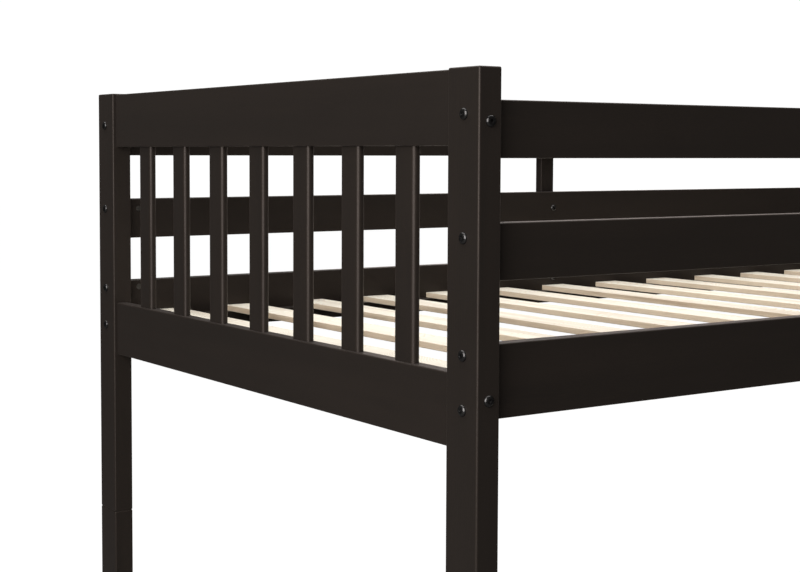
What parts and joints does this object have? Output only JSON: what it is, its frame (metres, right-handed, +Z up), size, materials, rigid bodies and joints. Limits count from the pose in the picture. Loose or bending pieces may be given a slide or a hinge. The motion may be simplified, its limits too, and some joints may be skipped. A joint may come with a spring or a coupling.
{
  "type": "bunk bed with ladder",
  "caption": "Twin-over-twin wooden bunk bed: slatted end panels, guard rails, slatted bases, stacking posts and a straight ladder that hooks over the upper bed rail.",
  "frame": {"origin": "centre of the whole object's footprint, on the floor", "axes": "+X along the bed's length from the left end panel towards the ladder end, +Y from the ladder side towards the back side, +Z up"},
  "size_m": [2.0148, 1.1188, 1.53],
  "materials": {
    "espresso_wood": "dark espresso stain under satin lacquer",
    "pine_slats": "planed bare pine, unfinished",
    "black_bolts": "black oxide, semi-gloss",
    "zinc_fixings": "bright zinc plate",
    "beech_dowels": "bare fluted beech",
    "steel_hooks_and_pins": "black powder coat"
  },
  "bodies": {
    "lower_bunk": {"lower_bed_rail_front": "espresso_wood", "lower_slat_ledge_front": "espresso_wood", "lower_post_front_left": "espresso_wood", "lower_post_front_right": "espresso_wood", "lower_bed_rail_back": "espresso_wood", "lower_slat_ledge_back": "espresso_wood", "lower_post_back_left": "espresso_wood", "lower_post_back_right": "espresso_wood", "lower_end_top_rail_left": "espresso_wood", "lower_end_bottom_rail_left": "espresso_wood", "lower_end_slats_left": "espresso_wood", "lower_end_top_rail_right": "espresso_wood", "lower_end_bottom_rail_right": "espresso_wood", "lower_end_slats_right": "espresso_wood", "lower_bed_slats": "pine_slats", "lower_side_rail_bolts": "black_bolts", "lower_end_rail_bolts": "black_bolts", "lower_barrel_nuts": "zinc_fixings", "lower_rail_dowels": "beech_dowels", "lower_base_screws": "zinc_fixings", "stacking_pins": "steel_hooks_and_pins"},
    "upper_bunk": {"upper_bed_rail_front": "espresso_wood", "upper_slat_ledge_front": "espresso_wood", "upper_post_front_left": "espresso_wood", "upper_post_front_right": "espresso_wood", "upper_bed_rail_back": "espresso_wood", "upper_slat_ledge_back": "espresso_wood", "upper_post_back_left": "espresso_wood", "upper_post_back_right": "espresso_wood", "upper_end_top_rail_left": "espresso_wood", "upper_end_bottom_rail_left": "espresso_wood", "upper_end_slats_left": "espresso_wood", "upper_end_top_rail_right": "espresso_wood", "upper_end_bottom_rail_right": "espresso_wood", "upper_end_slats_right": "espresso_wood", "upper_bed_slats": "pine_slats", "upper_side_rail_bolts": "black_bolts", "upper_end_rail_bolts": "black_bolts", "upper_barrel_nuts": "zinc_fixings", "upper_rail_dowels": "beech_dowels", "upper_base_screws": "zinc_fixings", "guard_stile_back": "espresso_wood", "guard_stile_front": "espresso_wood", "guard_stile_ladder": "espresso_wood", "guard_rail_high_front": "espresso_wood", "guard_rail_low_front": "espresso_wood", "guard_rail_high_back": "espresso_wood", "guard_rail_low_back": "espresso_wood", "guard_stile_bolts": "black_bolts"},
    "ladder": {"ladder_stile_left": "espresso_wood", "ladder_stile_right": "espresso_wood", "ladder_rung_1": "espresso_wood", "ladder_rung_2": "espresso_wood", "ladder_rung_3": "espresso_wood", "ladder_rung_4": "espresso_wood", "ladder_hooks": "steel_hooks_and_pins", "ladder_hook_screws": "zinc_fixings", "ladder_rung_bolts": "black_bolts", "ladder_rung_nuts": "zinc_fixings", "ladder_rung_dowels": "beech_dowels"}
  },
  "joints": [
    {"name": "upper_bunk_lift", "type": "slide", "parent": "lower_bunk", "child": "upper_bunk", "axis": [0, 0, 1], "range_m": [0, 0.06]},
    {"name": "ladder_lift", "type": "slide", "parent": "upper_bunk", "child": "ladder", "axis": [0, 0, 1], "range_m": [0, 0.05]}
  ]
}
